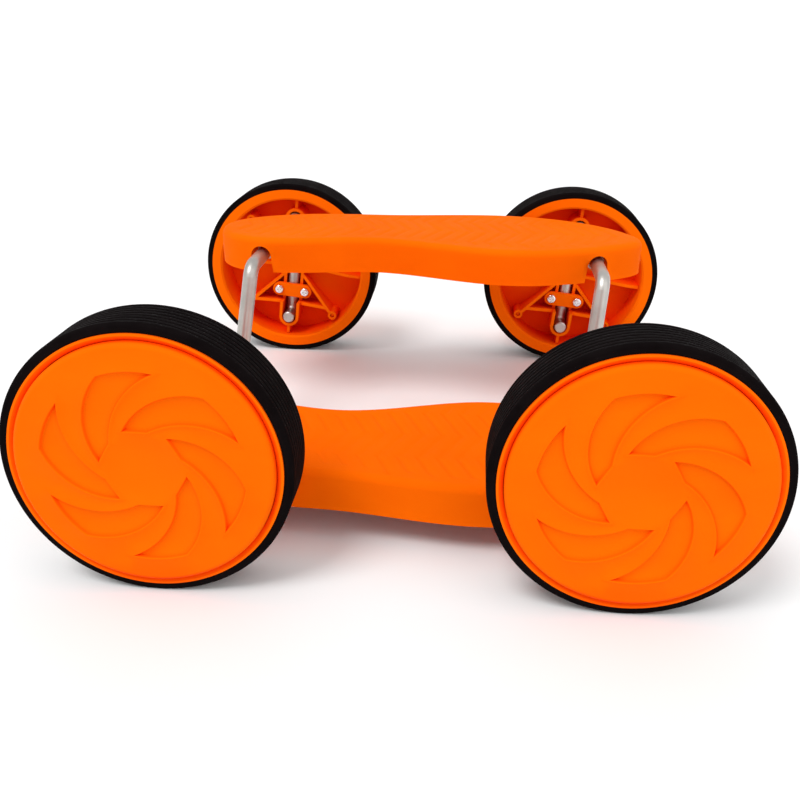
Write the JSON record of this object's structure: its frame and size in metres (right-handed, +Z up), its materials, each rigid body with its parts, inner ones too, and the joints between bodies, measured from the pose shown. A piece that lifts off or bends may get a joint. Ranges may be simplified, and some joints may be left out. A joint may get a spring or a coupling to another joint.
{
  "type": "four-wheel pedal roller",
  "caption": "Four-wheel balance roller: foot boards turn on two bent crank rods fixed in rubber-tyred wheels, and stepping rolls it along.",
  "frame": {"origin": "on the floor, under the middle of the four wheels", "axes": "+X is the way the toes point, +Y the left foot side, +Z up"},
  "size_m": [0.395, 0.41, 0.15],
  "materials": {
    "wheel_plastic": "satin moulded orange plastic",
    "board_plastic": "satin moulded orange plastic with a fine grain",
    "tyre_rubber": "matt black rubber",
    "rod_steel": "satin drawn steel",
    "screw_steel": "bright plated steel"
  },
  "bodies": {
    "left_pedal": {"left_foot_board": "board_plastic", "left_front_bearing_cap": "board_plastic", "left_front_cap_screws": "screw_steel", "left_rear_bearing_cap": "board_plastic", "left_rear_cap_screws": "screw_steel"},
    "front_crank": {"front_crank_rod": "rod_steel", "front_left_hub": "wheel_plastic", "front_left_cover": "wheel_plastic", "front_left_tyre": "tyre_rubber", "front_left_clamp_plate": "wheel_plastic", "front_left_clamp_screws": "screw_steel", "front_right_hub": "wheel_plastic", "front_right_cover": "wheel_plastic", "front_right_tyre": "tyre_rubber", "front_right_clamp_plate": "wheel_plastic", "front_right_clamp_screws": "screw_steel"},
    "rear_crank": {"rear_crank_rod": "rod_steel", "rear_left_hub": "wheel_plastic", "rear_left_cover": "wheel_plastic", "rear_left_tyre": "tyre_rubber", "rear_left_clamp_plate": "wheel_plastic", "rear_left_clamp_screws": "screw_steel", "rear_right_hub": "wheel_plastic", "rear_right_cover": "wheel_plastic", "rear_right_tyre": "tyre_rubber", "rear_right_clamp_plate": "wheel_plastic", "rear_right_clamp_screws": "screw_steel"},
    "right_pedal": {"right_foot_board": "board_plastic", "right_front_bearing_cap": "board_plastic", "right_front_cap_screws": "screw_steel", "right_rear_bearing_cap": "board_plastic", "right_rear_cap_screws": "screw_steel"}
  },
  "joints": [
    {"name": "front_crank_turn", "type": "hinge", "parent": "left_pedal", "child": "front_crank", "pos_m": [0.1272, 0.086, 0.11975], "axis": [0, 1, 0], "continuous": true},
    {"name": "rear_crank_turn", "type": "hinge", "parent": "left_pedal", "child": "rear_crank", "pos_m": [-0.1178, 0.086, 0.11975], "axis": [0, 1, 0], "continuous": true},
    {"name": "right_pedal_level", "type": "hinge", "parent": "front_crank", "child": "right_pedal", "pos_m": [0.1178, -0.086, 0.03025], "axis": [0, 1, 0], "continuous": true}
  ],
  "couplings": [
    {"joint": "rear_crank_turn", "follows": "front_crank_turn", "ratio": 1},
    {"joint": "right_pedal_level", "follows": "front_crank_turn", "ratio": -1}
  ]
}
